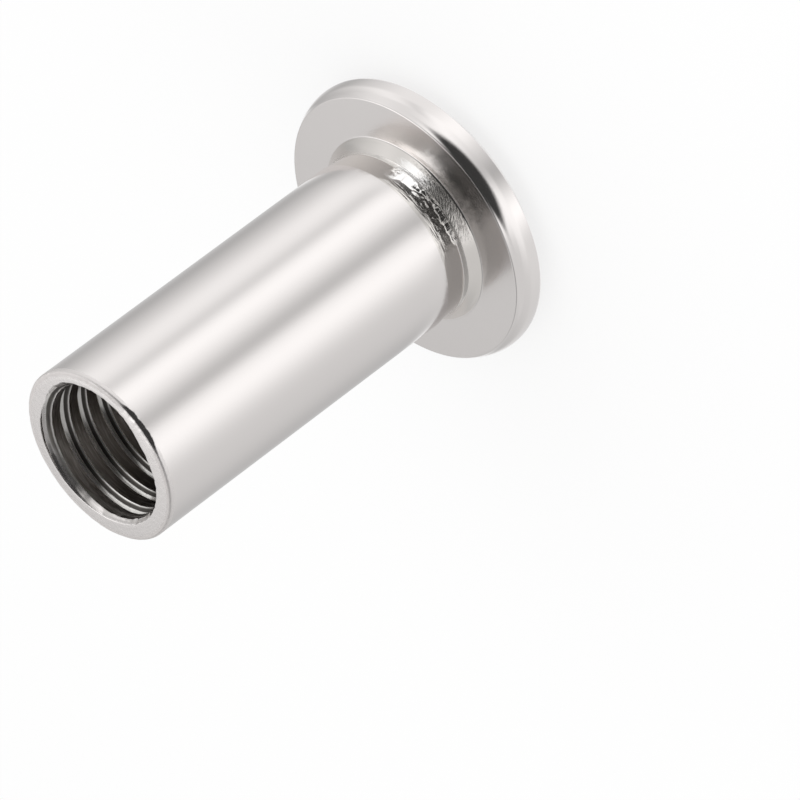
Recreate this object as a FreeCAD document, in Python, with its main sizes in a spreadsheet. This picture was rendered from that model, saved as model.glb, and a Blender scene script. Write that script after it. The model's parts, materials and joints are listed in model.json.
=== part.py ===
"""Sleeve nut M8 x 25: one steel piece with a crowned head, a flared neck and a long threaded sleeve.

The nut stands on the flat face of its head. The origin is the middle of that face and the sleeve points
up along +Z. All sizes are in millimetres. The bore is plain, as wide as the shallow thread's crests.
"""
import FreeCAD, Part
import math
import os

import Sketcher
from FreeCAD import Placement, Rotation, Vector

NODE = "sleeve_nut"

# Driving dimensions: name, value and what it measures
DIMENSIONS = [
    ("total_length", 25.0, "head face to open end"),
    ("head_diameter", 16.0, "widest part of the crowned rim"),
    ("head_height", 2.6, "head face to the underside that bears on the panel"),
    ("bevel_width", 1.44, "radial width of the bevel round the head face"),
    ("bevel_height", 1.05, "height of that bevel"),
    ("rim_crown", 0.1, "how far the rim bulges out past the bevel"),
    ("underside_inset", 0.33, "how far the rim curls back in where it meets the underside"),
    ("edge_rounding", 0.08, "rounding of the head's turned edges"),
    ("neck_flare_height", 0.7, "height of the conical flare between the head and its ridge"),
    ("neck_flare_width", 0.3, "how far the flare spreads out from its ridge to the underside"),
    ("neck_root_rounding", 0.09, "hollow rounding where the flare meets the underside"),
    ("neck_ridge_step", 0.14, "how far the ridge at the top of the flare stands out past the sleeve"),
    ("neck_ridge_slope", 0.1, "height of the slope from the ridge down into the neck groove"),
    ("neck_groove_height", 1.24, "straight bottom of the groove that the turning tool left"),
    ("neck_groove_depth", 0.08, "depth of that groove below the sleeve's surface"),
    ("thread_minor_diameter", 7.5, "bore at the crests of the shallow M8 thread"),
    ("sleeve_wall", 1.15, "wall of the sleeve round the bore"),
    ("open_end_rounding", 0.25, "rounding of the sleeve's outer edge at the open end"),
    ("lead_in_width", 0.2, "how far the lead-in at the open end spreads out past the bore"),
    ("lead_in_angle", 90.0, "full angle of the lead-in, in degrees"),
    ("web_thickness", 1.2, "wall between the head face and the bottom of the bore"),
    ("hex_across_flats", 5.05, "socket for a 5 mm key, broken through the web"),
    ("hex_corner_radius", 0.2, "rounding of the socket's six corners"),
    ("hex_mouth_rounding", 0.1, "edge drawn in by the punch round the socket's mouth"),
]

START, END, CENTRE = 1, 2, 3
ORIGIN = (-1, 1)
TOLERANCE = 1e-4


def make_sheet(doc):
    """Put the driving dimensions into a spreadsheet, one alias to a row."""
    sheet = doc.addObject("Spreadsheet::Sheet", "Sizes")
    for row, (alias, value, meaning) in enumerate(DIMENSIONS, start=1):
        sheet.set(f"A{row}", alias)
        sheet.set(f"B{row}", str(value))
        sheet.set(f"C{row}", meaning)
        sheet.setAlias(f"B{row}", alias)
    doc.recompute()
    return sheet


def origin_plane(body, role):
    """The body's own origin plane with that role."""
    return next(feature for feature in body.Origin.OriginFeatures if feature.Role == role)


def add_sketch(body, name, role):
    """A sketch lying on one of the body's own origin planes."""
    sketch = body.newObject("Sketcher::SketchObject", name)
    sketch.AttachmentSupport = [(origin_plane(body, role), "")]
    sketch.MapMode = "FlatFace"
    return sketch


def drive(sketch, name, constraint, expression):
    """Add a named constraint to the sketch and bind it to the sheet."""
    index = sketch.addConstraint(constraint)
    sketch.renameConstraint(index, name)
    sketch.setExpression(f"Constraints.{name}", expression)


def arc_between(start, end, centre):
    """Counterclockwise arc of a circle from start to end about centre."""
    circle = Part.Circle(centre, Vector(0, 0, 1), start.distanceToPoint(centre))
    return Part.ArcOfCircle(circle, circle.parameter(start), circle.parameter(end))


def round_corner(sketch, name, before, after, corner, directions, radius, expression):
    """Round the corner where two edges meet, and keep the sharp corner as a point to measure from.

    The directions are those in which the profile reaches the corner and leaves it.
    """
    arrive, leave = (direction.normalize() for direction in directions)
    setback = radius * math.tan(arrive.getAngle(leave) / 2)
    first = corner - arrive * setback
    last = corner + leave * setback
    centre = first + Vector(-arrive.y, arrive.x, 0) * radius
    arc = sketch.addGeometry(arc_between(first, last, centre))
    sharp = sketch.addGeometry(Part.Point(corner), True)
    sketch.addConstraint(Sketcher.Constraint("Tangent", before, END, arc, START))
    sketch.addConstraint(Sketcher.Constraint("Tangent", arc, END, after, START))
    sketch.addConstraint(Sketcher.Constraint("PointOnObject", sharp, START, before))
    sketch.addConstraint(Sketcher.Constraint("PointOnObject", sharp, START, after))
    drive(sketch, name, Sketcher.Constraint("Radius", arc, radius), expression)
    return sharp


def rim_centre(rim, bevel_edge, underside_edge):
    """Centre of the rim's arc, which touches the line x = rim and joins the two edges."""
    drop_low = rim - bevel_edge.x
    drop_high = rim - underside_edge.x
    span = underside_edge.y - bevel_edge.y
    # With t the height of the centre above the bevel's edge, both edges give the same radius
    a = drop_high - drop_low
    b = 2 * drop_low * span
    c = drop_low * drop_high * (drop_high - drop_low) - drop_low * span ** 2
    t = (-b + (b * b - 4 * a * c) ** 0.5) / (2 * a)
    radius = (drop_low ** 2 + t ** 2) / (2 * drop_low)
    return Vector(rim - radius, bevel_edge.y + t, 0)


def outer_radii(sheet):
    """Radius of the sleeve, of the ridge on its neck and of the flare's foot at the underside."""
    sleeve = sheet.thread_minor_diameter / 2 + sheet.sleeve_wall
    ridge = sleeve + sheet.neck_ridge_step
    return sleeve, ridge, ridge + sheet.neck_flare_width


def turned_profile(body, sheet):
    """Half section of the turned nut, from the axis round the head, the neck and the sleeve."""
    rim = sheet.head_diameter / 2
    sleeve, ridge, foot = outer_radii(sheet)
    neck = sleeve - sheet.neck_groove_depth
    ridge_height = sheet.head_height + sheet.neck_flare_height
    groove_foot = ridge_height + sheet.neck_ridge_slope
    groove_top = groove_foot + sheet.neck_groove_height

    axis_foot = Vector(0, 0, 0)
    face_edge = Vector(rim - sheet.rim_crown - sheet.bevel_width, 0, 0)
    bevel_edge = Vector(rim - sheet.rim_crown, sheet.bevel_height, 0)
    underside_edge = Vector(rim - sheet.underside_inset, sheet.head_height, 0)
    flare_foot = Vector(foot, sheet.head_height, 0)
    flare_end = Vector(ridge, ridge_height, 0)
    groove_start = Vector(neck, groove_foot, 0)
    groove_end = Vector(neck, groove_top, 0)
    sleeve_foot = Vector(sleeve, groove_top, 0)
    sleeve_end = Vector(sleeve, sheet.total_length, 0)
    axis_top = Vector(0, sheet.total_length, 0)

    rim_middle = rim_centre(rim, bevel_edge, underside_edge)

    sketch = add_sketch(body, "TurnedProfile", "XZ_Plane")
    face = sketch.addGeometry(Part.LineSegment(axis_foot, face_edge))
    bevel = sketch.addGeometry(Part.LineSegment(face_edge, bevel_edge))
    crown = sketch.addGeometry(arc_between(bevel_edge, underside_edge, rim_middle))
    underside = sketch.addGeometry(Part.LineSegment(underside_edge, flare_foot))
    flare = sketch.addGeometry(Part.LineSegment(flare_foot, flare_end))
    shoulder = sketch.addGeometry(Part.LineSegment(flare_end, groove_start))
    groove = sketch.addGeometry(Part.LineSegment(groove_start, groove_end))
    step = sketch.addGeometry(Part.LineSegment(groove_end, sleeve_foot))
    wall = sketch.addGeometry(Part.LineSegment(sleeve_foot, sleeve_end))
    open_end = sketch.addGeometry(Part.LineSegment(sleeve_end, axis_top))
    axis = sketch.addGeometry(Part.LineSegment(axis_top, axis_foot))
    reach = sketch.addGeometry(Part.LineSegment(Vector(rim, 0, 0), Vector(rim, sheet.head_height, 0)), True)

    joints = [
        (underside, END, flare, START), (flare, END, shoulder, START), (shoulder, END, groove, START),
        (groove, END, step, START), (step, END, wall, START),
        (open_end, END, axis, START), (axis, END, face, START),
    ]
    for joint in joints:
        sketch.addConstraint(Sketcher.Constraint("Coincident", *joint))
    sketch.addConstraint(Sketcher.Constraint("Coincident", face, START, *ORIGIN))
    for line in (face, underside, step, open_end):
        sketch.addConstraint(Sketcher.Constraint("Horizontal", line))
    for line in (groove, wall, axis, reach):
        sketch.addConstraint(Sketcher.Constraint("Vertical", line))
    sketch.addConstraint(Sketcher.Constraint("Tangent", crown, reach))
    sketch.addConstraint(Sketcher.Constraint("PointOnObject", reach, START, -1))

    out, back, upward = Vector(1, 0, 0), Vector(-1, 0, 0), Vector(0, 1, 0)
    slope = bevel_edge - face_edge
    quarter = Rotation(Vector(0, 0, 1), 90)
    crown_start = quarter.multVec(bevel_edge - rim_middle)
    crown_end = quarter.multVec(underside_edge - rim_middle)
    rounding = sheet.edge_rounding
    face_corner = round_corner(
        sketch, "face_rounding", face, bevel, face_edge, (out, slope), rounding, "Sizes.edge_rounding")
    bevel_corner = round_corner(
        sketch, "bevel_rounding", bevel, crown, bevel_edge, (slope, crown_start), rounding,
        "Sizes.edge_rounding")
    underside_corner = round_corner(
        sketch, "underside_rounding", crown, underside, underside_edge, (crown_end, back), rounding,
        "Sizes.edge_rounding")
    round_corner(
        sketch, "open_end_rounding", wall, open_end, sleeve_end, (upward, back), sheet.open_end_rounding,
        "Sizes.open_end_rounding")

    def across(name, geometry, point, distance, expression):
        drive(sketch, name, Sketcher.Constraint("DistanceX", *ORIGIN, geometry, point, distance), expression)

    def up(name, geometry, point, distance, expression):
        drive(sketch, name, Sketcher.Constraint("DistanceY", *ORIGIN, geometry, point, distance), expression)

    sleeve_radius = "Sizes.thread_minor_diameter / 2 + Sizes.sleeve_wall"
    ridge_radius = f"{sleeve_radius} + Sizes.neck_ridge_step"
    ridge_top = "Sizes.head_height + Sizes.neck_flare_height"
    across("rim_radius", reach, START, rim, "Sizes.head_diameter / 2")
    up("reach_height", reach, END, sheet.head_height, "Sizes.head_height")
    across("face_radius", face_corner, START, face_edge.x,
           "Sizes.head_diameter / 2 - Sizes.rim_crown - Sizes.bevel_width")
    across("bevel_radius", bevel_corner, START, bevel_edge.x, "Sizes.head_diameter / 2 - Sizes.rim_crown")
    up("bevel_top", bevel_corner, START, bevel_edge.y, "Sizes.bevel_height")
    across("underside_radius", underside_corner, START, underside_edge.x,
           "Sizes.head_diameter / 2 - Sizes.underside_inset")
    up("underside_height", underside, START, underside_edge.y, "Sizes.head_height")
    across("flare_radius", underside, END, flare_foot.x, f"{ridge_radius} + Sizes.neck_flare_width")
    across("ridge_radius", flare, END, flare_end.x, ridge_radius)
    up("ridge_height", flare, END, flare_end.y, ridge_top)
    across("neck_radius", groove, START, groove_start.x, f"{sleeve_radius} - Sizes.neck_groove_depth")
    up("groove_foot", groove, START, groove_start.y, f"{ridge_top} + Sizes.neck_ridge_slope")
    up("groove_top", groove, END, groove_end.y,
       f"{ridge_top} + Sizes.neck_ridge_slope + Sizes.neck_groove_height")
    across("sleeve_radius", wall, START, sleeve_foot.x, sleeve_radius)
    up("length", open_end, START, sleeve_end.y, "Sizes.total_length")
    return sketch


def hexagon(body, sheet):
    """Regular hexagon about the axis, with two flats square to Y."""
    flats = sheet.hex_across_flats
    corner_radius = flats / 3 ** 0.5
    turn = Rotation(Vector(0, 0, 1), 60)
    corners = [Vector(corner_radius, 0, 0)]
    for _ in range(5):
        corners.append(turn.multVec(corners[-1]))

    sketch = add_sketch(body, "HexSocket", "XY_Plane")
    sides = [sketch.addGeometry(Part.LineSegment(a, b)) for a, b in zip(corners, corners[1:] + corners[:1])]
    circle = sketch.addGeometry(Part.Circle(Vector(0, 0, 0), Vector(0, 0, 1), corner_radius), True)
    sketch.addConstraint(Sketcher.Constraint("Coincident", circle, CENTRE, *ORIGIN))
    for side, following in zip(sides, sides[1:] + sides[:1]):
        sketch.addConstraint(Sketcher.Constraint("Coincident", side, END, following, START))
        sketch.addConstraint(Sketcher.Constraint("PointOnObject", side, START, circle))
    for following in sides[1:]:
        sketch.addConstraint(Sketcher.Constraint("Equal", sides[0], following))
    sketch.addConstraint(Sketcher.Constraint("Horizontal", sides[1]))
    drive(sketch, "half_flats", Sketcher.Constraint("DistanceY", *ORIGIN, sides[1], START, flats / 2),
          "Sizes.hex_across_flats / 2")
    return sketch


def corner_edges(shape, radius, top):
    """Names of the upright edges at the socket's corners, which stand at that radius up to that height."""
    names = []
    for number, edge in enumerate(shape.Edges, start=1):
        box = edge.BoundBox
        upright = max(box.XLength, box.YLength) < TOLERANCE and abs(box.ZMax - top) < TOLERANCE
        if upright and abs(math.hypot(box.XMax, box.YMax) - radius) < TOLERANCE:
            names.append(f"Edge{number}")
    return names


def mouth_edges(shape, reach):
    """Names of the edges of the socket's mouth, which lie in the head face within that reach."""
    names = []
    for number, edge in enumerate(shape.Edges, start=1):
        box = edge.BoundBox
        if box.ZMax < TOLERANCE and max(box.XMax, box.YMax, -box.XMin, -box.YMin) < reach:
            names.append(f"Edge{number}")
    return names


def ring_edges(shape, radius, height):
    """Names of the turned edges with that radius at that height."""
    names = []
    for number, edge in enumerate(shape.Edges, start=1):
        box = edge.BoundBox
        level = box.ZLength < TOLERANCE and abs(box.ZMax - height) < TOLERANCE
        if level and isinstance(edge.Curve, Part.Circle) and abs(edge.Curve.Radius - radius) < TOLERANCE:
            names.append(f"Edge{number}")
    return names


def add_fillet(body, name, base, edges, expression):
    """Round the named edges of the last feature by a size from the sheet."""
    fillet = body.newObject("PartDesign::Fillet", name)
    fillet.Base = (base, edges)
    fillet.setExpression("Radius", expression)
    return fillet


def make_nut(doc, sheet):
    """The whole nut: turned, bored, punched with its hexagon and its edges rounded."""
    body = doc.addObject("PartDesign::Body", "SleeveNut")
    body.Label = NODE

    turned = body.newObject("PartDesign::Revolution", "Turned")
    profile = turned_profile(body, sheet)
    turned.Profile = profile
    turned.ReferenceAxis = (profile, ["V_Axis"])
    turned.Angle = 360
    profile.Visibility = False
    doc.recompute()

    _, _, flare_foot = outer_radii(sheet)
    add_fillet(body, "NeckRoot", turned, ring_edges(turned.Shape, flare_foot, sheet.head_height),
               "Sizes.neck_root_rounding")
    doc.recompute()

    mouth = add_sketch(body, "BoreMouth", "XY_Plane")
    mouth.AttachmentOffset = Placement(Vector(0, 0, sheet.total_length), Rotation())
    mouth.setExpression("AttachmentOffset.Base.z", "Sizes.total_length")
    circle = mouth.addGeometry(Part.Circle(Vector(0, 0, 0), Vector(0, 0, 1), sheet.thread_minor_diameter / 2))
    mouth.addConstraint(Sketcher.Constraint("Coincident", circle, CENTRE, *ORIGIN))
    drive(mouth, "bore_diameter", Sketcher.Constraint("Diameter", circle, sheet.thread_minor_diameter),
          "Sizes.thread_minor_diameter")
    doc.recompute()

    bore = body.newObject("PartDesign::Hole", "Bore")
    bore.Profile = mouth
    bore.DepthType = "Dimension"
    bore.DrillPoint = "Flat"
    bore.HoleCutType = "Countersink"
    bore.HoleCutCustomValues = True
    bore.setExpression("Diameter", "Sizes.thread_minor_diameter")
    bore.setExpression("Depth", "Sizes.total_length - Sizes.web_thickness")
    bore.setExpression("HoleCutDiameter", "Sizes.thread_minor_diameter + 2 * Sizes.lead_in_width")
    bore.setExpression("HoleCutCountersinkAngle", "Sizes.lead_in_angle")
    mouth.Visibility = False
    doc.recompute()

    socket = body.newObject("PartDesign::Pocket", "Socket")
    outline = hexagon(body, sheet)
    socket.Profile = outline
    socket.Type = "Length"
    socket.Reversed = True
    socket.setExpression("Length", "Sizes.web_thickness")
    outline.Visibility = False
    doc.recompute()

    corner = sheet.hex_across_flats / 3 ** 0.5
    upright = corner_edges(socket.Shape, corner, sheet.web_thickness)
    corners = add_fillet(body, "SocketCorners", socket, upright, "Sizes.hex_corner_radius")
    doc.recompute()
    add_fillet(body, "SocketMouth", corners, mouth_edges(corners.Shape, sheet.hex_across_flats),
               "Sizes.hex_mouth_rounding")
    doc.recompute()
    return body


def check(doc):
    """Stop if any object failed, a sketch is loose or a body is empty or broken."""
    for item in doc.Objects:
        if "Invalid" in item.State or "Error" in item.State:
            raise RuntimeError(f"{item.Name} failed: {item.State}")
        if item.isDerivedFrom("Sketcher::SketchObject") and not item.FullyConstrained:
            raise RuntimeError(f"{item.Name} is not fully constrained")
        if item.isDerivedFrom("PartDesign::Body") and (item.Shape.isNull() or not item.Shape.isValid()):
            raise RuntimeError(f"{item.Label} has no valid shape")


def main():
    doc = FreeCAD.newDocument("SleeveNut")
    sheet = make_sheet(doc)
    nut = make_nut(doc, sheet)
    doc.recompute()
    check(doc)
    os.makedirs("parts", exist_ok=True)
    nut.Shape.exportStep(f"parts/{nut.Label}.step")
    box = nut.Shape.optimalBoundingBox(False)
    print(f"{nut.Label}: {box.XLength:.3f} x {box.YLength:.3f} x {box.ZLength:.3f} mm, "
          f"{nut.Shape.Volume:.2f} mm3, {len(nut.Shape.Faces)} faces, {len(nut.Shape.Solids)} solid")


main()
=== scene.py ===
"""Looks of the sleeve nut: turned, threaded and punched from one bar of steel, then bright nickel plated.

Lengths are in metres, in the frame of the solid: the nut stands on its head at the origin and the sleeve
points up along +Z. The nut is one closed skin, made of rings of points that follow its turned section.
"""
import json
import math

import bmesh
import bpy
from mathutils import Matrix, Vector, noise


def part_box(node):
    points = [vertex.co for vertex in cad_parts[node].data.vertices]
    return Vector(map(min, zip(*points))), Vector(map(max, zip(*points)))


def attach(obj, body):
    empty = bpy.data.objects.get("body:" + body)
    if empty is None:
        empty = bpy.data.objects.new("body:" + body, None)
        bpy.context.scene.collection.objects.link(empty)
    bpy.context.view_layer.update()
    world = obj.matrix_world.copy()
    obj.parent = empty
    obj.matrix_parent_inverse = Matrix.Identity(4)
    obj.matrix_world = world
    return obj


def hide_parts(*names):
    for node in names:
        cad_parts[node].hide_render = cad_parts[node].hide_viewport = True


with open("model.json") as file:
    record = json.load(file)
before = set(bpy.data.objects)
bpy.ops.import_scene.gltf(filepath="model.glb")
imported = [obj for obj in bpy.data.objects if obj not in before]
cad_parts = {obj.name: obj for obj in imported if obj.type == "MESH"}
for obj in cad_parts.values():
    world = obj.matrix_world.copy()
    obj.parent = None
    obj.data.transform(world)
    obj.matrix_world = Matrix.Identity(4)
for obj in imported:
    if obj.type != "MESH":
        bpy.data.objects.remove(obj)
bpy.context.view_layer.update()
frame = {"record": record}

MM = 0.001

# Sizes that the solid gives
NODE = "sleeve_nut"
MOUNTS = {mount["name"]: mount for mount in frame["record"]["mounts"]}
NODE_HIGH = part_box(NODE)[1]
HEAD_RADIUS = NODE_HIGH.x
OPEN_END = NODE_HIGH.z
UNDERSIDE = MOUNTS["underside"]["pos_m"][2]
SLEEVE_RADIUS = MOUNTS["sleeve"]["dims"]["r_mm"] * MM
GROOVE_FOOT = MOUNTS["sleeve"]["pos_m"][2] - MOUNTS["sleeve"]["dims"]["length_mm"] * MM / 2
CREST_RADIUS = MOUNTS["thread"]["dims"]["r_mm"] * MM
WEB_TOP = MOUNTS["thread"]["pos_m"][2] - MOUNTS["thread"]["dims"]["length_mm"] * MM / 2

# Head
BEVEL_WIDTH = 1.44 * MM
BEVEL_HEIGHT = 1.05 * MM
RIM_CROWN = 0.1 * MM
UNDERSIDE_INSET = 0.33 * MM
EDGE_ROUNDING = 0.08 * MM
RIM_STEPS = 18

# Neck: corners of its section as radius, height and rounding, up from the underside
NECK_FOOT = 5.5 * MM
NECK_CORNERS = [(5.34, 2.6, 0.09), (5.04, 3.3, 0.03), (4.82, 3.4, 0.06)]
NECK_TOP = 4.82 * MM
NECK_ROOT_END = (2.66 * MM, 2.76 * MM)
NECK_SPACING = 0.07 * MM
GROOVE_HEIGHT = 1.24 * MM
SLEEVE_FOOT = GROOVE_FOOT + GROOVE_HEIGHT

# Stretch round the neck that has the ridge, between two soft edges in degrees, and the flare elsewhere
RIDGE_HEIGHT = 3.3 * MM
RIDGED = ((-62.0, -28.0), (90.0, 50.0))
RIDGE_REACH = 0.1 * MM
RIDGE_WAVINESS = 0.008 * MM
FLARE_TOP = 3.5 * MM
FLARE_HEIGHT = 0.85 * MM
FLARE_SPREAD = 0.5 * MM

# Fine marks that the turning tool tore into the lens side of the neck
MARKED = ((-20.0, -11.0), (29.0, 20.0))
MARKS_DEPTH = 0.006 * MM
MARKS_LENGTH = 0.3
MARKS_WIDTH = 0.2
MARKED_WAVINESS = 0.03 * MM

# Lip of the sleeve, which is ragged all round and smeared down over the groove on the lens side
SMEARED = ((-36.0, -24.0), (36.0, 22.0))
SMEAR_DEPTH = 0.46 * MM
LIP_RAGGEDNESS = 0.03 * MM
LIP_HEIGHT = 0.3 * MM
LIP_BURR = 0.03 * MM

# Torn metal that fills the groove in two places, up to a height, the first of them with a smoother patch that
# is given a painted highlight
FILLS = [
    (((-36.0, -27.0), (-3.0, -17.0)), 4.15 * MM),
    (((-4.0, 6.0), (30.0, 21.0)), 3.72 * MM),
]
FILL_REACH = 5.0 * MM
FILL_RAGGEDNESS = 0.3 * MM
RUBBED_HIGHLIGHT_FOOT = 2.95 * MM

# Open end, whose outer edge is worn on the lens side
MOUTH_CROWN = 0.03 * MM
MOUTH_ROUNDING = 0.25 * MM
MOUTH_UNEVENNESS = 0.03 * MM
WORN_EDGE = 0.1 * MM
WORN = ((-17.0, -9.0), (23.0, 11.0))

# Lead-in, which is broken out wider on one side and narrow round one bearing
LEAD_IN_RADIUS = 3.95 * MM
LEAD_IN_UNEVENNESS = 0.045 * MM
LEAD_IN_NARROW = (-112.0, 30.0, 0.16 * MM)
EDGE_BREAK = 0.03 * MM
BREAK_OUT = 0.34 * MM
BROKEN = ((-124.0, -66.0), (18.0, -18.0))

# Rings that ease the flat end into the edge of the bore: how far outside it, and how far below the end
END_RINGS = [(0.25 * MM, 0.004 * MM), (0.06 * MM, 0.0), (0.03 * MM, 0.0), (0.01 * MM, 0.01 * MM)]

# Shallow thread M8 x 1.25, right-hand: corners of its form as height, depth and rounding in millimetres
PITCH = 1.25 * MM
THREAD_DEPTH = 0.36 * MM
THREAD_END = 8.97 * MM
THREAD_CORNERS = [
    (0.355, 0.0, 0.04), (0.56, 0.243, 0.05), (0.685, 0.36, 0.06), (0.82, 0.36, 0.06), (1.01, 0.0, 0.04)
]
THREAD_RUN_OUT = 1.2 * PITCH
THREAD_NICKS = 0.014 * MM
MOUTH_NICKS = 1.5
MOUTH_NICKS_REACH = 1.2 * MM

# Key socket
ACROSS_FLATS = 5.05 * MM
SOCKET_CORNER = 0.2 * MM
SOCKET_MOUTH = 0.1 * MM
FACE_RING = 4.4 * MM

# Points to a ring, how close points are merged, and the angle in degrees past which an edge is sharp
FINE = 384
COARSE = 192
MERGE_DISTANCE = 0.0005 * MM
SHARP_ANGLE = 38

# Where the photograph, 800 pixels square, shows the nut
FRAME_PIXELS = 800
FOCAL_PIXELS = 8715
OPEN_END_PIXEL = Vector((98.35, 456.65))
OPEN_END_DISTANCE = 430.6 * MM
SLEEVE_SEEN = Vector((-0.6753, -0.5135, 0.5294))
SENSOR = 36.0


def arc(centre, radius, first, last, steps):
    """Points along an arc of the section, from one angle to another in degrees."""
    points = []
    for step in range(steps + 1):
        angle = math.radians(first + (last - first) * step / steps)
        points.append(centre + radius * Vector((math.cos(angle), math.sin(angle))))
    return points


def rounded_corner(before, corner, after, radius, steps=3):
    """Points along the arc that rounds a corner of the section."""
    back = (before - corner).normalized()
    ahead = (after - corner).normalized()
    half = back.angle(ahead) / 2
    setback = radius / math.tan(half)
    centre = corner + (back + ahead).normalized() * radius / math.sin(half)
    first = corner + back * setback
    turn = (math.pi - 2 * half) * math.copysign(1, ahead.cross(back))
    swings = (Matrix.Rotation(turn * step / steps, 2) for step in range(steps + 1))
    return [centre + swing @ (first - centre) for swing in swings]


def eased_edge(before, corner, after, radius, steps=5, lead=0.04 * MM):
    """A turned edge: rounded, with a point on each side of it that keeps the surfaces beside it true."""
    rounded = rounded_corner(before, corner, after, radius, steps)
    back = (before - corner).normalized()
    ahead = (after - corner).normalized()
    return [rounded[0] + back * lead, *rounded, rounded[-1] + ahead * lead]


def rounded_path(first, corners, last, steps=3):
    """A path from first to last through corners that are given with their roundings in millimetres."""
    places = [first, *(Vector(corner[:2]) * MM for corner in corners), last]
    path = [first]
    for before, corner, after, (_, _, radius) in zip(places, places[1:], places[2:], corners):
        path += rounded_corner(before, corner, after, radius * MM, steps)
    return path + [last]


def filled(path, longest):
    """The path with more points on it, so that no gap is longer than that."""
    points = [path[0]]
    for first, last in zip(path, path[1:]):
        points += between(first, last, math.ceil((last - first).length / longest)) + [last]
    return points


def ramp(value, low, high):
    """Go smoothly from 0 at low to 1 at high."""
    share = min(max((value - low) / (high - low), 0), 1)
    return share * share * (3 - 2 * share)


def window(value, edges):
    """1 between two soft edges and 0 outside them, each edge given from its outer to its inner side."""
    first, last = edges
    return ramp(value, *first) * ramp(value, *last)


def unevenness(place, *waves):
    """Noise at a place, added up from waves that are given as strength and scale."""
    return sum(strength * noise.noise(place * scale) for strength, scale in waves)


def bearing(angle):
    """Bearing of a place round the nut, in degrees from the lens side."""
    return math.degrees(math.atan2(-math.cos(angle), -math.sin(angle)))


def between(first, last, steps):
    """Points between two points of the section, without the two."""
    return [first.lerp(last, step / steps) for step in range(1, steps)]


def rim_circle(bevel_edge, underside_edge):
    """Centre and radius of the rim's arc, which touches the head's diameter and joins the two edges."""
    low = HEAD_RADIUS - bevel_edge.x
    high = HEAD_RADIUS - underside_edge.x
    span = underside_edge.y - bevel_edge.y
    a = high - low
    b = 2 * low * span
    c = low * high * (high - low) - low * span ** 2
    rise = (-b + math.sqrt(b * b - 4 * a * c)) / (2 * a)
    radius = (rise ** 2 + low ** 2) / (2 * low)
    return Vector((HEAD_RADIUS - radius, bevel_edge.y + rise)), radius


def head_section():
    """Half section of the head, from its flat face out over the bevel and the rim to the underside."""
    bevel_edge = Vector((HEAD_RADIUS - RIM_CROWN, BEVEL_HEIGHT))
    face_edge = Vector((bevel_edge.x - BEVEL_WIDTH, 0))
    underside_edge = Vector((HEAD_RADIUS - UNDERSIDE_INSET, UNDERSIDE))
    neck_foot = Vector((NECK_FOOT, UNDERSIDE))
    centre, radius = rim_circle(bevel_edge, underside_edge)
    first = math.degrees(math.atan2(*reversed(bevel_edge - centre)))
    last = math.degrees(math.atan2(*reversed(underside_edge - centre)))
    rim = arc(centre, radius, first, last, RIM_STEPS)
    section = [Vector((face_edge.x * share, 0)) for share in (0.78, 0.86, 0.94)]
    section += eased_edge(section[-1], face_edge, bevel_edge, EDGE_ROUNDING)
    section += between(face_edge, bevel_edge, 2)
    section += eased_edge(face_edge, bevel_edge, rim[1], EDGE_ROUNDING)[:-1]
    section += rim[2:-2]
    section += eased_edge(rim[-2], underside_edge, neck_foot, EDGE_ROUNDING)[1:]
    section += between(underside_edge, neck_foot, 5)
    return section


def neck_section():
    """Half section of the neck, from the underside over the flare and its ridge up the groove."""
    path = rounded_path(Vector((NECK_FOOT, UNDERSIDE)), NECK_CORNERS, Vector((NECK_TOP, SLEEVE_FOOT)))
    return filled(path, NECK_SPACING)


def sleeve_section():
    """Half section of the sleeve, from above its lip up to the open end's rounding."""
    foot = Vector((SLEEVE_RADIUS, SLEEVE_FOOT + LIP_HEIGHT))
    edge = Vector((SLEEVE_RADIUS, OPEN_END - 2 * MOUTH_ROUNDING - MOUTH_CROWN))
    return [foot, *between(foot, edge, 4), edge]


def mouth_rings():
    """Rings over the open end's outer rounding, which is uneven and worn wider on the lens side."""
    rings = []
    for quarter in range(9):
        turn = math.radians(90 * quarter / 8)
        ring = []
        for step in range(FINE):
            angle = 2 * math.pi * step / FINE
            place = Vector((math.cos(angle), math.sin(angle), 0)) * SLEEVE_RADIUS / MM
            uneven = unevenness(place, (1, 0.8), (0.7, 2.9), (0.5, 7.3))
            worn = window(bearing(angle), WORN)
            radius = MOUTH_ROUNDING * (0.6 + 0.4 * worn) + MOUTH_UNEVENNESS * uneven
            radius += WORN_EDGE * worn * (1 + 0.8 * uneven)
            out = SLEEVE_RADIUS - radius * (1 - math.cos(turn))
            height = OPEN_END - MOUTH_CROWN - radius * (1 - math.sin(turn))
            ring.append(Vector((out * math.cos(angle), out * math.sin(angle), height)))
        rings.append(ring)
    return rings


def turned_ring(radius, height, count):
    """Points of a ring of the turned section."""
    return [
        Vector((radius * math.cos(angle), radius * math.sin(angle), height))
        for angle in (2 * math.pi * step / count for step in range(count))
    ]


def turned_neck(radius, height, side):
    """Radius of the neck as it was turned: ridged on the lens side and a smooth flare elsewhere."""
    rise = min(max((FLARE_TOP - height) / FLARE_HEIGHT, 0), 1)
    flare = NECK_TOP + FLARE_SPREAD * rise ** 1.5
    return radius - (1 - window(side, RIDGED)) * max(0, radius - flare) * ramp(height, *NECK_ROOT_END)


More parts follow.
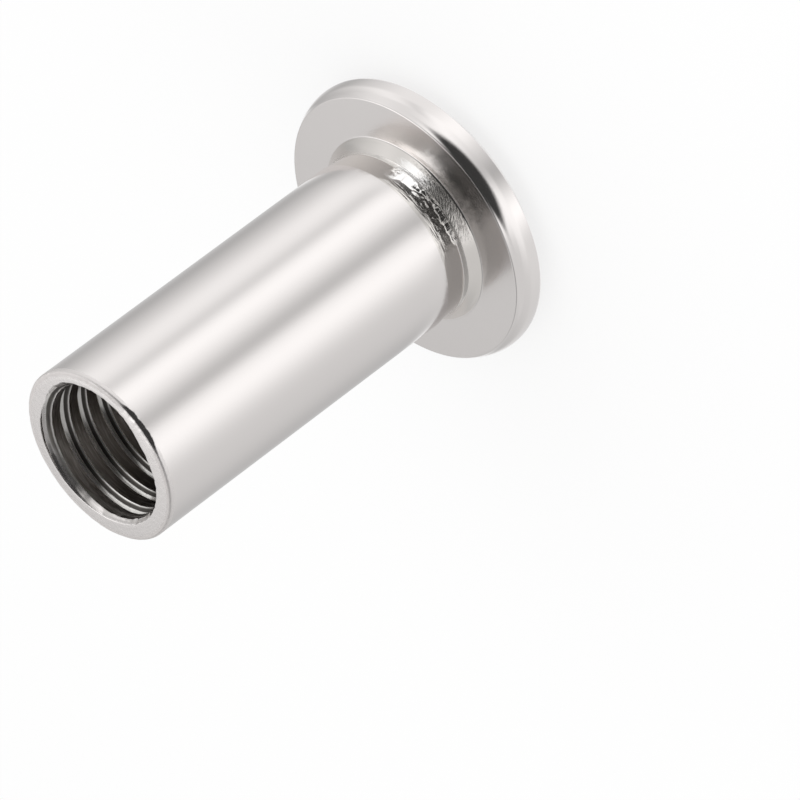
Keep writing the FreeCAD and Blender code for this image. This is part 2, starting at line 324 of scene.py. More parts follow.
def neck_fill(place, height, side, turned):
    """How far the torn metal in the groove stands out from the turned neck."""
    streaked = Vector((place.x, place.y, place.z * 0.4))
    ragged = side + 5 * noise.noise(place * 0.55) + 7 * noise.noise(streaked * 2.1)
    flat = Vector((place.x, place.y, 0))
    fill = 0
    for stretch, level in FILLS:
        top = level + FILL_RAGGEDNESS * unevenness(flat, (1, 0.8), (0.5, 2.6))
        share = (height - RIDGE_HEIGHT) / (top - RIDGE_HEIGHT)
        straight = FILL_REACH + (NECK_TOP - FILL_REACH) * share
        here = window(ragged, stretch) * ramp(height, RIDGE_HEIGHT, GROOVE_FOOT)
        fill = max(fill, here * (straight - turned))
    return fill


def neck_ring(radius, height):
    """A ring of the neck with the marks that the turning tool tore into it."""
    around = SLEEVE_RADIUS / MM / MARKS_LENGTH
    on_ridge = math.exp(-((height - RIDGE_HEIGHT) / RIDGE_REACH) ** 2)
    rise = max(0, (height - GROOVE_FOOT) / GROOVE_HEIGHT)
    ring = []
    for step in range(FINE):
        angle = 2 * math.pi * step / FINE
        side = bearing(angle)
        marked = window(side, MARKED)
        turned = turned_neck(radius, height, side)
        place = Vector((around * math.cos(angle), around * math.sin(angle), height / MM / MARKS_WIDTH))
        torn = MARKS_DEPTH * marked * unevenness(place, (1, 1), (0.5, 2.3))
        reach = turned + neck_fill(place, height, side, turned) + torn
        wave = (RIDGE_WAVINESS + MARKED_WAVINESS * marked) * on_ridge
        wave *= noise.noise(Vector((place.x, place.y, 0)) * 1.3)
        lowered = height - SMEAR_DEPTH * window(side, SMEARED) * rise + wave
        ring.append(Vector((reach * math.cos(angle), reach * math.sin(angle), lowered)))
    return ring


def lip_ring(outset, rise):
    """A ring of the sleeve's lip, ragged all round and smeared down on the lens side."""
    fade = 1 - rise / LIP_HEIGHT
    ring = []
    for place in turned_ring(SLEEVE_RADIUS, SLEEVE_FOOT, FINE):
        spot = Vector((place.x, place.y, 0)) / MM
        side = math.degrees(math.atan2(-place.x, -place.y))
        smeared = window(side, SMEARED)
        calm = 0.3 + 0.7 * smeared
        ragged = LIP_RAGGEDNESS * calm * unevenness(spot, (1, 0.9), (0.6, 3.3)) - SMEAR_DEPTH * smeared
        burr = outset * calm * max(0, noise.noise(spot * 2.3))
        flat = Vector((place.x, place.y, 0)).normalized() * (SLEEVE_RADIUS + burr)
        ring.append(Vector((flat.x, flat.y, SLEEVE_FOOT + rise + ragged * fade)))
    return ring


def socket_ring(outset, height):
    """A ring round the key socket's hexagon, moved out from its flats."""
    corner_distance = (ACROSS_FLATS / 2 - SOCKET_CORNER) / math.cos(math.radians(30))
    radius = SOCKET_CORNER + outset
    on_corner = 8
    on_flat = COARSE // 6 - on_corner
    ring = []
    for corner in range(6):
        turn = Matrix.Rotation(math.radians(60 * corner), 2)
        rounded = arc(Vector((corner_distance, 0)), radius, -30, 30, on_corner)
        next_start = Matrix.Rotation(math.radians(60), 2) @ rounded[0]
        flat = between(rounded[-1], next_start, on_flat)
        ring += [Vector((*(turn @ point), height)) for point in rounded + flat]
    return ring


class Skin:
    """Rings of points joined into one closed surface."""

    def __init__(self):
        self.points = []
        self.faces = []

    def ring(self, points):
        """Add a ring and return the numbers of its points."""
        start = len(self.points)
        self.points += points
        return list(range(start, len(self.points)))

    def join(self, ring, following):
        """Close the strip between two rings with as many points."""
        for here, there in zip(range(-1, len(ring) - 1), range(len(ring))):
            self.faces.append((ring[here], ring[there], following[there], following[here]))

    def join_finer(self, coarse, fine, outward):
        """Close the strip between a ring and one with twice as many points."""
        for here, there in zip(range(-1, len(coarse) - 1), range(len(coarse))):
            left, middle, right = fine[2 * here], fine[2 * here + 1], fine[2 * there]
            corners = [
                (coarse[here], coarse[there], middle),
                (coarse[here], middle, left),
                (coarse[there], right, middle),
            ]
            self.faces += corners if outward else [corner[::-1] for corner in corners]

    def follow(self, ring, sections):
        """Join a ring to each of the rings that come after it, and return the last."""
        for points in sections:
            following = self.ring(points)
            self.join(ring, following)
            ring = following
        return ring


def thread_form():
    """One turn of the thread, from the middle of a crest to the next, as heights and depths."""
    turn = Vector((PITCH, 0))
    return rounded_path(Vector((0, 0)), THREAD_CORNERS, turn)[:-1]


THREAD_FORM = thread_form()


def thread_depth(height):
    """Depth of the thread at a height above the middle of a crest."""
    height %= PITCH
    form = THREAD_FORM + [Vector((PITCH, 0))]
    for low, high in zip(form, form[1:]):
        if height <= high.x:
            return low.y + (high.y - low.y) * (height - low.x) / (high.x - low.x)
    return 0


def lead_in_radius(angle, height):
    """Radius of the lead-in cone, which is broken out wider on one side."""
    side = bearing(angle)
    broken = BREAK_OUT * window(side, BROKEN)
    place = Vector((math.cos(angle), math.sin(angle), 0)) * LEAD_IN_RADIUS / MM
    uneven = LEAD_IN_UNEVENNESS * unevenness(place, (1, 1.2), (0.9, 4.1), (0.6, 9.7))
    middle, width, less = LEAD_IN_NARROW
    narrow = less * math.exp(-((side - middle) / width) ** 2)
    return LEAD_IN_RADIUS + broken + uneven - narrow - (OPEN_END - height)


def thread_radius(angle, height):
    """Radius of the thread at a place, nicked here and there, and fading out at its lower end."""
    share = angle / (2 * math.pi)
    depth = thread_depth(height - THREAD_END - PITCH * share)
    ease = ramp(height, THREAD_END, THREAD_END + THREAD_RUN_OUT)
    near_mouth = 1 + MOUTH_NICKS * ramp(height, OPEN_END - MOUTH_NICKS_REACH, OPEN_END)
    place = Vector((math.cos(angle) * 4, math.sin(angle) * 4, height / MM))
    nick = THREAD_NICKS * near_mouth * unevenness(place, (1, 2.5), (0.6, 6.1))
    return CREST_RADIUS + (depth + nick * (1 - 0.5 * depth / THREAD_DEPTH)) * ease


def thread_column(step, top):
    """Radius and height of the thread's points on one side of the bore, from its end up to the top."""
    angle = 2 * math.pi * step / COARSE
    turns = math.ceil((top - THREAD_END) / PITCH) + 2
    heights = [
        THREAD_END + PITCH * (step / COARSE - 1 + turn) + point.x
        for turn in range(turns) for point in THREAD_FORM
    ]
    heights = [min(max(height, THREAD_END), top) for height in heights]
    over = [thread_radius(angle, height) - lead_in_radius(angle, height) for height in heights]
    for index in range(len(heights) - 1):
        low, high = heights[index], heights[index + 1]
        if over[index] * over[index + 1] < 0 and THREAD_END < low and high < top:
            crossing = low + (high - low) * over[index] / (over[index] - over[index + 1])
            heights[index + (crossing - low > high - crossing)] = crossing
    return [
        (max(thread_radius(angle, height), lead_in_radius(angle, height)), height)
        for height in heights
    ]


def add_thread(skin, top):
    """Add the helical thread between the plain bore and the open end."""
    rows = len(THREAD_FORM)
    numbers = []
    for step in range(COARSE):
        angle = 2 * math.pi * step / COARSE
        points = [
            Vector((radius * math.cos(angle), radius * math.sin(angle), height))
            for radius, height in thread_column(step, top)
        ]
        numbers.append(skin.ring(points))
    last_row = len(numbers[0]) - rows - 1
    for step in range(COARSE):
        following = numbers[step + 1] if step + 1 < COARSE else numbers[0][rows:]
        for row in range(last_row):
            corners = [numbers[step][row], numbers[step][row + 1], following[row + 1], following[row]]
            heights = {round(skin.points[corner].z, 9) for corner in corners}
            if len(heights) > 1:
                skin.faces.append(tuple(corners))


def wall_ring(top, outset, height):
    """A ring that follows the bore's edge at the open end, moved out and set at a height."""
    ring = []
    for step in range(COARSE):
        angle = 2 * math.pi * step / COARSE
        radius = max(thread_radius(angle, top), lead_in_radius(angle, top)) + outset
        ring.append(Vector((radius * math.cos(angle), radius * math.sin(angle), height)))
    return ring


def socket_rings():
    """Rings down the key socket's wall, over its drawn-in mouth and out onto the head's face."""
    quarter = [math.radians(90 * step / 5) for step in range(6)]
    wall = [socket_ring(0, WEB_TOP * share) for share in (1.0, 0.96, 0.55, 0.15)]
    mouth = [
        socket_ring(SOCKET_MOUTH * (1 - math.cos(turn)), SOCKET_MOUTH * (1 - math.sin(turn)))
        for turn in quarter
    ]
    face = [socket_ring(SOCKET_MOUTH + spread, 0) for spread in (0.05 * MM, 0.5 * MM)]
    return wall + mouth + face + [turned_ring(FACE_RING, 0, COARSE)]


def outer_rings():
    """Rings from the head's face over the rim, the neck and the sleeve to the open end's rounding."""
    head = [turned_ring(point.x, point.y, FINE) for point in head_section()]
    neck = [neck_ring(point.x, point.y) for point in neck_section()]
    lip = [lip_ring(LIP_BURR * (1 - rise), LIP_HEIGHT * rise) for rise in (0, 0.15, 0.35, 0.65)]
    sleeve = [turned_ring(point.x, point.y, FINE) for point in sleeve_section()]
    return head + neck + lip + sleeve + mouth_rings()


def plain_bore_rings():
    """Rings down the plain bore, from the thread's end to just above the web."""
    drop = THREAD_END - WEB_TOP
    heights = [THREAD_END - drop * share for share in (0, 0.25, 0.5, 0.75, 0.99)]
    return [turned_ring(CREST_RADIUS, height, COARSE) for height in heights]


def make_nut():
    """The whole nut as one closed skin: socket, head, neck, sleeve, flat end, thread and bore."""
    skin = Skin()
    bore_foot = skin.ring(turned_ring(CREST_RADIUS, WEB_TOP, COARSE))
    socket = skin.follow(bore_foot, socket_rings())
    outer = outer_rings()
    face = skin.ring(outer[0])
    skin.join_finer(socket, face, outward=True)
    rounding = skin.follow(face, outer[1:])
    top = OPEN_END - EDGE_BREAK
    end = [wall_ring(top, outset, OPEN_END - drop) for outset, drop in END_RINGS]
    inner = skin.ring(end[0])
    skin.join_finer(inner, rounding, outward=False)
    skin.follow(inner, [*end[1:], wall_ring(top, 0, top)])
    add_thread(skin, top)
    plain = plain_bore_rings()
    skin.join(skin.follow(skin.ring(plain[0]), plain[1:]), bore_foot)
    return skin


def build_mesh(name, skin):
    """Turn a skin into an object whose points are merged and whose edges are marked."""
    mesh = bpy.data.meshes.new(name)
    mesh.from_pydata(skin.points, [], skin.faces)
    shape = bmesh.new()
    shape.from_mesh(mesh)
    bmesh.ops.remove_doubles(shape, verts=shape.verts, dist=MERGE_DISTANCE)
    bmesh.ops.dissolve_degenerate(shape, edges=shape.edges, dist=MERGE_DISTANCE)
    bmesh.ops.recalc_face_normals(shape, faces=shape.faces)
    shape.to_mesh(mesh)
    shape.free()
    mesh.shade_smooth()
    mesh.set_sharp_from_angle(angle=math.radians(SHARP_ANGLE))
    piece = bpy.data.objects.new(name, mesh)
    bpy.context.scene.collection.objects.link(piece)
    return piece


class Value:
    """A number in a shader. Arithmetic on it adds Math nodes to its material."""

    def __init__(self, finish, socket):
        self.finish = finish
        self.socket = socket

    def __add__(self, other):
        return self.finish.maths("ADD", self, other)

    def __radd__(self, other):
        return self.finish.maths("ADD", other, self)

    def __sub__(self, other):
        return self.finish.maths("SUBTRACT", self, other)

    def __rsub__(self, other):
        return self.finish.maths("SUBTRACT", other, self)

    def __mul__(self, other):
        return self.finish.maths("MULTIPLY", self, other)

    def __rmul__(self, other):
        return self.finish.maths("MULTIPLY", other, self)

    def __truediv__(self, other):
        return self.finish.maths("DIVIDE", self, other)

    def __pow__(self, other):
        return self.finish.maths("POWER", self, other)

    def __lt__(self, other):
        return self.finish.maths("LESS_THAN", self, other)

    def __gt__(self, other):
        return self.finish.maths("GREATER_THAN", self, other)


class Finish:
    """A material, or the world, that is built node by node."""

    def __init__(self, owner, output):
        self.owner = owner
        owner.use_nodes = True
        self.tree = owner.node_tree
        self.tree.nodes.clear()
        self.output = self.tree.nodes.new(output)

    def node(self, kind, settings=None, sockets=None):
        """Add a node: its settings first, then the values or links of its sockets."""
        node = self.tree.nodes.new(kind)
        for name, value in (settings or {}).items():
            setattr(node, name, value)
        for name, value in (sockets or {}).items():
            self.plug(node.inputs[name], value)
        return node

    def plug(self, socket, value):
        """Link a value to a socket, or set the socket to it."""
        if isinstance(value, Value):
            value = value.socket
        if isinstance(value, bpy.types.NodeSocket):
            self.tree.links.new(value, socket)
        else:
            socket.default_value = value

    def maths(self, operation, *values):
        """Add a Math node."""
        node = self.node("ShaderNodeMath", {"operation": operation}, dict(enumerate(values)))
        return Value(self, node.outputs[0])

    def value(self, node, name):
        """One of a node's outputs, ready for arithmetic."""
        return Value(self, node.outputs[name])

    def place(self):
        """Where a point lies on the object, in millimetres, as a vector and as its three parts."""
        coordinates = self.node("ShaderNodeTexCoord")
        scaled = self.node(
            "ShaderNodeVectorMath",
            {"operation": "SCALE"},
            {0: coordinates.outputs["Object"], "Scale": 1 / MM},
        )
        parts = self.node("ShaderNodeSeparateXYZ", sockets={0: scaled.outputs[0]})
        return scaled.outputs[0], [self.value(parts, axis) for axis in "XYZ"]

    def grain(self, place, scale, detail=3.0, rough=0.5):
        """Fine noise about zero, with a scale in features to the millimetre."""
        node = self.node(
            "ShaderNodeTexNoise",
            sockets={"Vector": place, "Scale": scale, "Detail": detail, "Roughness": rough},
        )
        return self.value(node, "Fac") - 0.5

    def bump(self, height, depth):
        """A normal from a height that stands for that depth in metres."""
        node = self.node("ShaderNodeBump", sockets={"Strength": 1.0, "Distance": depth, "Height": height})
        return node.outputs["Normal"]

    def smooth_step(self, value, low, high):
        """Go smoothly from 0 where the value is low to 1 where it is high."""
        node = self.node(
            "ShaderNodeMapRange",
            {"interpolation_type": "SMOOTHSTEP"},
            {"Value": value, "From Min": low, "From Max": high},
        )
        return self.value(node, "Result")

    def window(self, value, edges):
        """1 between two soft edges and 0 outside them, each edge given from its outer to its inner side."""
        first, last = edges
        return self.smooth_step(value, *first) * self.smooth_step(value, *last)

    def bearing(self, x, y):
        """Bearing of a place round the nut, in degrees from the lens side."""
        return self.maths("ARCTAN2", -1.0 * x, -1.0 * y) * (180 / math.pi)

    def clamp(self, value):
        """Keep a value between 0 and 1."""
        return self.maths("MINIMUM", self.maths("MAXIMUM", value, 0.0), 1.0)

    def mix_colour(self, factor, first, second):
        """A colour between two others."""
        node = self.node("ShaderNodeMix", {"data_type": "RGBA"}, {0: factor, 6: first, 7: second})
        return node.outputs[2]


# Tones of the plating, with painted shade in the bore, on the thread's flanks and in the neck's tears, and
# painted highlights on the thread's edges and on a patch of the neck
PLATE = (0.836, 0.803, 0.789, 1)
PLATE_AND_SHADE_IN_BORE = (0.4, 0.37, 0.345, 1)
PAINTED_SHADE_ON_FLANKS = (0.06, 0.055, 0.05, 1)
PLATE_ON_LEAD_IN = (0.34, 0.32, 0.29, 1)
PAINTED_HIGHLIGHT_ON_THREAD = (0.95, 0.93, 0.9, 1)
PLATE_ON_NECK = (0.72, 0.69, 0.65, 1)
PAINTED_HIGHLIGHT_ON_FILL = (0.97, 0.955, 0.94, 1)
PAINTED_SHADE_IN_TEARS = (0.3, 0.29, 0.27, 1)

# Roughness of the polished plating, and what each surface adds to it
POLISHED = 0.12
UNDERSIDE_SATIN = 0.09
FACE_SATIN = 0.13
MOUTH_SATIN = 0.12
RIDGE_SATIN = 0.3
ROUNDING_SATIN = 0.36
TORN_SATIN = 0.04
LEAD_IN_SATIN = 0.12
BORE_SATIN = 0.24
EDGES_POLISH = 0.18

# Depth that the finest marks in the plating stand for
GRAIN_DEPTH = 0.004 * MM


def thread_masks(finish, x, y, z):
    """Masks of the crests' upper edges and the roots of the thread, which get painted highlights, of the
    flanks, which get painted shade, and the marks along it.
    """
    turned = finish.maths("ARCTAN2", y, x) * (0.5 / math.pi)
    turns = (z - THREAD_END / MM) / (PITCH / MM) - turned
    height = finish.maths("FLOORED_MODULO", turns, 1.0) * (PITCH / MM)
    edge, root_low, root_high = (corner[0] for corner in THREAD_CORNERS[:3])
    line = soft_spot(finish, height - edge, 0.04)
    root = finish.window(height, ((root_low - 0.03, root_low), (root_high + 0.04, root_high)))
    flank = finish.window(height, ((edge + 0.02, edge + 0.06), (root_low, root_low - 0.03)))
    winding = {0: x * 0.35, 1: y * 0.35, 2: turns * (PITCH / MM * 5.0)}
    along = finish.node("ShaderNodeCombineXYZ", sockets=winding)
    cuts = finish.grain(along.outputs[0], 1.6, detail=3.0, rough=0.65)
    return line, root, flank, cuts


def neck_marks(finish, x, y, z):
    """Masks of torn metal, the painted shade in its tears and the smoother patch on the neck that gets a
    painted highlight, and the height of all marks.
    """
    side = finish.bearing(x, y)
    lip = (SLEEVE_FOOT - SMEAR_DEPTH) / MM
    low = finish.window(z, ([edge / MM for edge in NECK_ROOT_END], (lip + 0.04, lip - 0.04)))
    smear_side = finish.window(side, SMEARED)
    torn = finish.window(side, MARKED) * low
    scratched = smear_side * low * 0.8
    smeared = smear_side * finish.window(z, ((lip - 0.1, lip), (lip + 0.55, lip + 0.15)))
    arc_length = side * (math.radians(1) * SLEEVE_RADIUS / MM)
    rise = z - RIDGE_HEIGHT / MM
    slant = 0.15 + 1.5 * finish.smooth_step(rise, 0.1, -0.05)
    upright = finish.node(
        "ShaderNodeCombineXYZ",
        sockets={0: (arc_length - rise * slant) * 7.0, 1: (rise + arc_length * (slant - 0.15)) * 2.0},
    )
    tears = finish.grain(upright.outputs[0], 1.0, detail=3.0, rough=0.6)
    level = finish.node("ShaderNodeCombineXYZ", sockets={0: arc_length * 0.8, 1: z * 6.0})
    waves = finish.grain(level.outputs[0], 1.0, detail=2.0)
    marks = tears * finish.maths("MAXIMUM", torn, scratched) + waves * smeared * 0.5
    stretch, top = FILLS[0]
    foot, top = RUBBED_HIGHLIGHT_FOOT / MM, top / MM
    # A smoother patch of the first fill, which gets a painted highlight
    rubbed_and_highlight = finish.window(side + tears * 14.0, stretch)
    rubbed_and_highlight = rubbed_and_highlight * finish.window(z, ((foot - 0.1, foot), (top + 0.1, top)))
    torn = torn * (1.0 - rubbed_and_highlight)
    # Painted shade in the tears, heavier at bearings below about 26 degrees
    tear_shade = finish.clamp(torn * (tears * 2.2 + 0.35 * finish.smooth_step(side, 26.0, 6.0)))
    return torn, tear_shade, rubbed_and_highlight, marks * (1.0 - rubbed_and_highlight * 0.6)


class Surfaces:
    """Masks of the surfaces of the nut that have a finish of their own."""

    def __init__(self, finish, x, y, z):
        near = 0.02
        crests = CREST_RADIUS / MM
        underside = UNDERSIDE / MM
        self.top = OPEN_END / MM
        self.across = finish.maths("SQRT", x * x + y * y)
        self.face = z < near / 2
        self.underside = finish.maths("COMPARE", z, underside, near)
        on_neck = (z > underside + near) * (z < SLEEVE_FOOT / MM + near)
        self.neck = on_neck * (self.across > crests + 0.5)
        on_ridge = soft_spot(finish, z - (RIDGE_HEIGHT / MM + 0.06), 0.06)
        self.ridge = on_ridge * (self.across < NECK_FOOT / MM)
        self.mouth = z > self.top - 0.06
        self.rounding = (self.across > SLEEVE_RADIUS / MM - 0.27) * (z > self.top - 0.3)
        self.worn = finish.window(finish.bearing(x, y), WORN)
        self.lead_in = (self.across < crests + 0.6) * (z > self.top - 0.6) * (1.0 - self.mouth)
        below_lead_in = finish.smooth_step(z, self.top - 0.2, self.top - 0.45)
        self.bore = (self.across < crests + 0.4) * (z > 0.15) * below_lead_in


def bright_nickel():
    """Nickel over turned steel: bright on the sleeve and rim, satin on the flat faces, duller in the bore
    with painted shade that deepens down it, painted shade on the thread's flanks and in the neck's tears, and
    painted highlights on the thread's edges and on a patch of the neck.
    """
    finish = Finish(bpy.data.materials.new("bright_nickel"), "ShaderNodeOutputMaterial")
    place, (x, y, z) = finish.place()
    on = Surfaces(finish, x, y, z)
    line, root, flank, cuts = thread_masks(finish, x, y, z)
    torn, tear_shade, rubbed_and_highlight, marks = neck_marks(finish, x, y, z)
    fine = finish.grain(place, 11.0)
    soft = finish.grain(place, 1.3, detail=2.0)
    pits = finish.grain(place, 3.6, detail=4.0, rough=0.6)
    circling = finish.node("ShaderNodeCombineXYZ", sockets={0: on.across * 8.0, 1: x * 0.25, 2: y * 0.25})
    turned = finish.grain(circling.outputs[0], 1.0, detail=2.0)
    # Painted shade: the bore is painted darker the further down it a place lies
    depth_shade = finish.smooth_step(z, on.top - 0.6, on.top - 3.0)
    lit = finish.clamp(line + root)
    # Duller plate in the bore, darkened further by the painted shade down the bore
    dull_and_shade = on.bore * (1.0 - lit) * finish.clamp(0.74 + depth_shade * 0.26 + cuts * 2.6)
    colour = finish.mix_colour(dull_and_shade, PLATE, PLATE_AND_SHADE_IN_BORE)
    # Painted shade: the thread's flanks in the bore are painted nearly black
    colour = finish.mix_colour(on.bore * flank * (1.0 - lit) * 0.9, colour, PAINTED_SHADE_ON_FLANKS)
    colour = finish.mix_colour(on.lead_in * finish.clamp(0.25 + cuts * 2.0), colour, PLATE_ON_LEAD_IN)
    # Painted highlight: the crests' upper edges and the thread's roots are painted near white
    colour = finish.mix_colour(on.bore * lit, colour, PAINTED_HIGHLIGHT_ON_THREAD)
    colour = finish.mix_colour(on.neck * 0.6, colour, PLATE_ON_NECK)
    # Painted highlight: a smoother patch of the torn metal on the neck is painted near white
    colour = finish.mix_colour(on.neck * rubbed_and_highlight, colour, PAINTED_HIGHLIGHT_ON_FILL)
    # Painted shade: the neck's tears are painted dark
    colour = finish.mix_colour(tear_shade, colour, PAINTED_SHADE_IN_TEARS)
    roughness = (
        POLISHED + on.underside * UNDERSIDE_SATIN + on.face * FACE_SATIN
        + on.mouth * (MOUTH_SATIN + pits * 0.4) + on.rounding * (1.0 - on.worn) * ROUNDING_SATIN
        + on.ridge * (1.0 - torn) * RIDGE_SATIN + torn * TORN_SATIN
        + on.lead_in * LEAD_IN_SATIN + on.bore * (BORE_SATIN - lit * EDGES_POLISH)
        + fine * 0.05 + soft * 0.04
    )
    height = (
        fine * (0.35 + on.underside * 0.4 + on.face + on.mouth * 0.8)
        + pits * (on.mouth * 3.0 + on.rounding * 1.5) + turned * on.mouth * 2.0
        + marks * 8.0 + (on.bore + on.lead_in) * cuts * 2.0
    )
    shader = finish.node(
        "ShaderNodeBsdfPrincipled",
        sockets={
            "Base Color": colour,
            "Metallic": 1.0,
            "Roughness": roughness,
            "Normal": finish.bump(height, GRAIN_DEPTH),
        },
    )
    finish.plug(finish.output.inputs["Surface"], shader.outputs[0])
    return finish.owner


# Stage: the floor, the light tent that the plating mirrors, and the lamps
FLOOR_SIZE = 3.0
FLOOR_LEVEL = -0.01 * MM
TENT_RADIUS = 150.0 * MM
TENT_FOOT = -0.005 * MM
TENT_OPENING = 8.1 * MM

# Where the sheet passes from the rim's strips to the sleeve's, in millimetres from the axis, and where it
# passes into the wall, in degrees up
RIM_SHEET_EDGE = (10.5, 14.0)
WALL_FOOT_EDGE = (0.0, 6.0)

# Soft-edged strips of the tent: azimuth from the lens side, half width, brightness added
WALL_BRIGHTNESS = 0.72
SHEET_STRIPS = [
    (33.0, 27.0, 0.45),
    (4.0, 10.0, -0.17),
    (-36.0, 22.0, 0.45),
    (-57.0, 9.0, -0.16),
    (-82.0, 22.0, 0.3),
    (-141.0, 23.0, -0.22),
    (152.0, 34.0, -0.18),
]
RIM_STRIPS = [
    (-33.0, 22.0, 0.45),
    (7.0, 10.0, -0.17),
    (38.0, 16.0, 0.5),
    (-78.0, 26.0, 0.22),
    (75.0, 30.0, 0.08),
    (-138.0, 20.0, -0.22),
    (180.0, 16.0, 0.24),
]
WALL_STRIPS = [
    (-33.0, 24.0, 0.45),
    (5.0, 10.0, -0.17),
    (36.0, 16.0, 0.42),
    (-88.0, 22.0, 0.2),
    (-140.0, 20.0, -0.15),
]

# Above the wall: grey paper with a soft box on the left and a pale panel behind
CEILING_BRIGHTNESS = 0.36
WALL_TOP = 25.0
WALL_TOP_EDGE = 5.0
SOFT_BOX = (-124.0, 62.0, 28.0, 1.2)
BACK_PANEL = (180.0, 44.0, 27.0, 0.24)

# Black flag round the lens: azimuth, elevation, half width and soft edge
FLAG = (0.0, 43.0, 39.0, 7.0)
FLAG_BRIGHTNESS = 0.045

# Share of the floor that is plain white to the lens and in reflections
FLOOR_WHITE = 0.72

# Soft boxes: name, azimuth from the lens side, elevation and power
LAMPS = [("soft_box_left", -60, 55, 0.02), ("soft_box_right", 70, 50, 0.012)]
LAMP_DISTANCE = 160 * MM
LAMP_SIZE = 90 * MM


def off_by(finish, direction, azimuth, elevation):
    """Angle in degrees between a direction and the one with that azimuth and elevation."""
    x, y, z = direction
    flat = math.cos(math.radians(elevation))
    side = -flat * math.sin(math.radians(azimuth))
    front = -flat * math.cos(math.radians(azimuth))
    along = x * side + y * front + z * math.sin(math.radians(elevation))
    return finish.maths("ARCCOSINE", finish.maths("MINIMUM", along, 1.0)) * (180 / math.pi)


def soft_spot(finish, off, width):
    """Brightness of a soft spot or strip, from how far off its middle a place is."""
    return finish.maths("EXPONENT", -1.0 * (off / width) ** 2.0)


def striped(finish, azimuth, strips):
    """Brightness of paper with soft-edged strips, at an azimuth in degrees."""
    brightness = WALL_BRIGHTNESS
    for centre, width, added in strips:
        off = finish.maths("ABSOLUTE", azimuth - centre)
        off = finish.maths("MINIMUM", off, 360.0 - off)
        brightness = brightness + added * soft_spot(finish, off, width)
    return brightness


def mirrored_azimuth(finish, x, y, share):
    """Azimuth in degrees of the ray that the nut's round side mirrors from the lens to a place of the tent.

    The lens is far off at azimuth 0. The share is the side's radius over the place's distance.
    """
    turned = finish.maths("ARCTAN2", -1.0 * x, -1.0 * y)
    azimuth = turned
    for _ in range(2):
        sideways = finish.clamp(finish.maths("ABSOLUTE", finish.maths("SINE", azimuth * 0.5)) * share)
        azimuth = turned + finish.maths("ARCSINE", sideways) * finish.maths("SIGN", turned)
    return azimuth * (180 / math.pi)


def tent_paper():
    """Paper of the light tent: white wall with bright strips, grey ceiling and the flag round the lens."""
    finish = Finish(bpy.data.materials.new("tent_paper"), "ShaderNodeOutputMaterial")
    _, (x, y, z) = finish.place()
    across = finish.maths("SQRT", x * x + y * y)
    reach = finish.maths("SQRT", across * across + z * z)
    direction = (x / reach, y / reach, z / reach)
    far = finish.smooth_step(across, *RIM_SHEET_EDGE)
    radius = (HEAD_RADIUS + far * (SLEEVE_RADIUS - HEAD_RADIUS)) * (1 / MM)
    azimuth = mirrored_azimuth(finish, x, y, radius / across)
    elevation = finish.maths("ARCTAN2", z, across) * (180 / math.pi)
    rim_sheet = striped(finish, azimuth, RIM_STRIPS)
    sheet = rim_sheet + far * (striped(finish, azimuth, SHEET_STRIPS) - rim_sheet)
    upright = striped(finish, azimuth, WALL_STRIPS)
    wall = sheet + finish.smooth_step(elevation, *WALL_FOOT_EDGE) * (upright - sheet)
    ceiling = CEILING_BRIGHTNESS
    for centre, height, width, added in (SOFT_BOX, BACK_PANEL):
        ceiling = ceiling + added * soft_spot(finish, off_by(finish, direction, centre, height), width)
    above = finish.smooth_step(elevation, WALL_TOP - WALL_TOP_EDGE, WALL_TOP + WALL_TOP_EDGE)
    brightness = wall + above * (ceiling - wall)
    centre, height, width, edge = FLAG
    off = off_by(finish, direction, centre, height)
    flagged = finish.smooth_step(off, width + edge, width - edge)
    brightness = brightness + flagged * (FLAG_BRIGHTNESS - brightness)
    emission = finish.node("ShaderNodeEmission", sockets={"Strength": brightness})
    finish.plug(finish.output.inputs["Surface"], emission.outputs[0])
    finish.owner.cycles.emission_sampling = "NONE"
    return finish.owner


def make_tent():
    """The light tent: a round sheet on the floor under a paper dome, which only the plating sees."""
    sheet = [Vector((TENT_OPENING, TENT_FOOT)), Vector((TENT_RADIUS, TENT_FOOT))]
    section = sheet + arc(Vector((0, 0)), TENT_RADIUS, 2, 88, 24)
    skin = Skin()
    first = skin.ring(turned_ring(section[0].x, section[0].y, COARSE))
    top = skin.follow(first, [turned_ring(point.x, point.y, COARSE) for point in section[1:]])
    skin.faces.append(tuple(top))
    tent = build_mesh("light_tent", skin)
    tent.data.materials.append(tent_paper())
    tent.visible_camera = False
    tent.visible_diffuse = False
    tent.visible_transmission = False
    tent.visible_shadow = False


def floor_paper():
    """Pale floor: white to the lens and in reflections, with the nut's shadow kept, and clear from below."""
    finish = Finish(bpy.data.materials.new("floor_paper"), "ShaderNodeOutputMaterial")
    path = finish.node("ShaderNodeLightPath")
    rays = [finish.value(path, name) for name in ("Is Camera Ray", "Is Glossy Ray", "Is Transmission Ray")]
    seen = finish.clamp(rays[0] + rays[1] + rays[2])
    matt = finish.node("ShaderNodeBsdfDiffuse", sockets={"Color": (0.92, 0.92, 0.92, 1)})
    white = finish.node("ShaderNodeEmission", sockets={"Strength": 1.0})
    top_side = finish.node(
        "ShaderNodeMixShader",
        sockets={0: seen * FLOOR_WHITE, 1: matt.outputs[0], 2: white.outputs[0]},
    )
    geometry = finish.node("ShaderNodeNewGeometry")
    clear = finish.node("ShaderNodeBsdfTransparent")
    sheet = finish.node(
        "ShaderNodeMixShader",
        sockets={0: geometry.outputs["Backfacing"], 1: top_side.outputs[0], 2: clear.outputs[0]},
    )
    finish.plug(finish.output.inputs["Surface"], sheet.outputs[0])
    return finish.owner


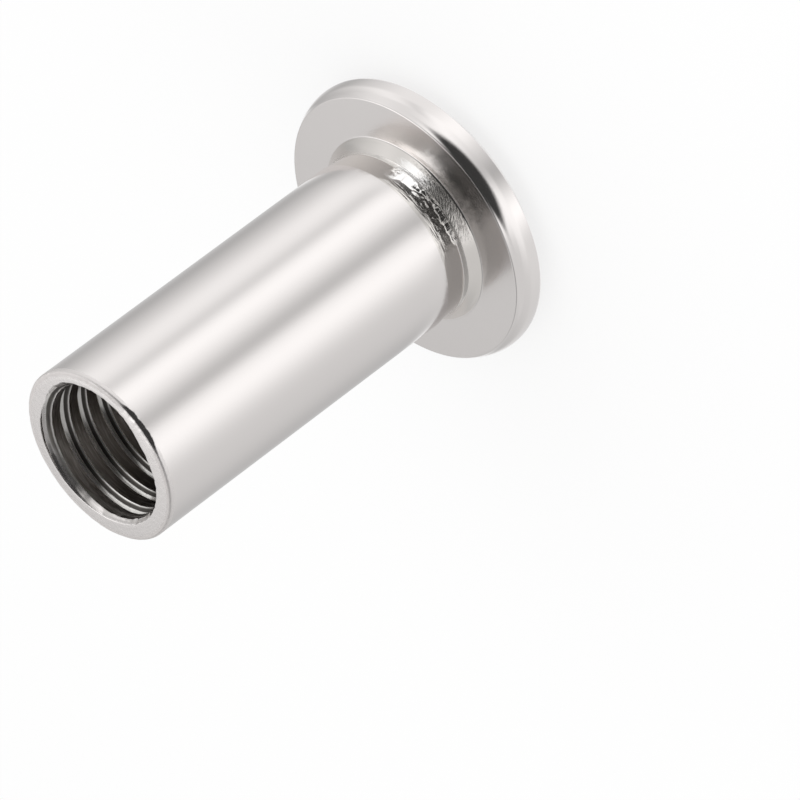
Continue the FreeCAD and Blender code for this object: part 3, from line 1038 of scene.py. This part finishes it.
def make_floor():
    """A level sheet of paper just under the nut."""
    mesh = bpy.data.meshes.new("floor")
    half = FLOOR_SIZE / 2
    corners = [(x * half, y * half, FLOOR_LEVEL) for x, y in ((-1, -1), (1, -1), (1, 1), (-1, 1))]
    mesh.from_pydata(corners, [], [(0, 1, 2, 3)])
    floor = bpy.data.objects.new("floor", mesh)
    bpy.context.scene.collection.objects.link(floor)
    mesh.materials.append(floor_paper())


def make_lamp(name, azimuth, elevation, power):
    """A square soft box that faces the nut."""
    lamp = bpy.data.lights.new(name, "AREA")
    lamp.size = LAMP_SIZE
    lamp.energy = power
    holder = bpy.data.objects.new(name, lamp)
    bpy.context.scene.collection.objects.link(holder)
    around_axis = math.radians(azimuth)
    up = math.radians(elevation)
    flat = math.cos(up)
    away = Vector((-math.sin(around_axis) * flat, -math.cos(around_axis) * flat, math.sin(up)))
    holder.location = away * LAMP_DISTANCE + Vector((0, 0, OPEN_END / 2))
    holder.rotation_euler = (-away).to_track_quat("-Z", "Y").to_euler()
    holder.visible_glossy = False


def light_room():
    """White room light from all round."""
    world = bpy.data.worlds.new("white_room")
    bpy.context.scene.world = world
    finish = Finish(world, "ShaderNodeOutputWorld")
    white = finish.node("ShaderNodeBackground", sockets={"Color": (1, 1, 1, 1), "Strength": 1.0})
    finish.plug(finish.output.inputs["Surface"], white.outputs[0])


def place_camera():
    """Set the lens where the photograph was taken from, looking down on the nut's open end."""
    data = bpy.data.cameras.new("camera")
    data.sensor_width = SENSOR
    data.lens = FOCAL_PIXELS / FRAME_PIXELS * SENSOR
    data.clip_start = 0.01
    data.clip_end = 3.0
    up = SLEEVE_SEEN.normalized()
    lens_side = (Vector((0, 0, 1)) - up * up.z).normalized()
    far_side = -lens_side
    turn = Matrix((far_side.cross(up), far_side, up))
    offset = (OPEN_END_PIXEL - Vector((1, 1)) * FRAME_PIXELS / 2) / FOCAL_PIXELS
    seen_at = Vector((offset.x, -offset.y, -1)) * OPEN_END_DISTANCE
    camera = bpy.data.objects.new("camera", data)
    bpy.context.scene.collection.objects.link(camera)
    camera.matrix_world = Matrix.Translation(Vector((0, 0, OPEN_END)) - turn @ seen_at) @ turn.to_4x4()
    bpy.context.scene.camera = camera


bpy.context.scene.view_settings.view_transform = "Standard"
place_camera()
light_room()
make_floor()
make_tent()
for lamp_place in LAMPS:
    make_lamp(*lamp_place)

nut = build_mesh("threaded_nut", make_nut())
nut.data.materials.append(bright_nickel())
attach(nut, "root")
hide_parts(NODE)
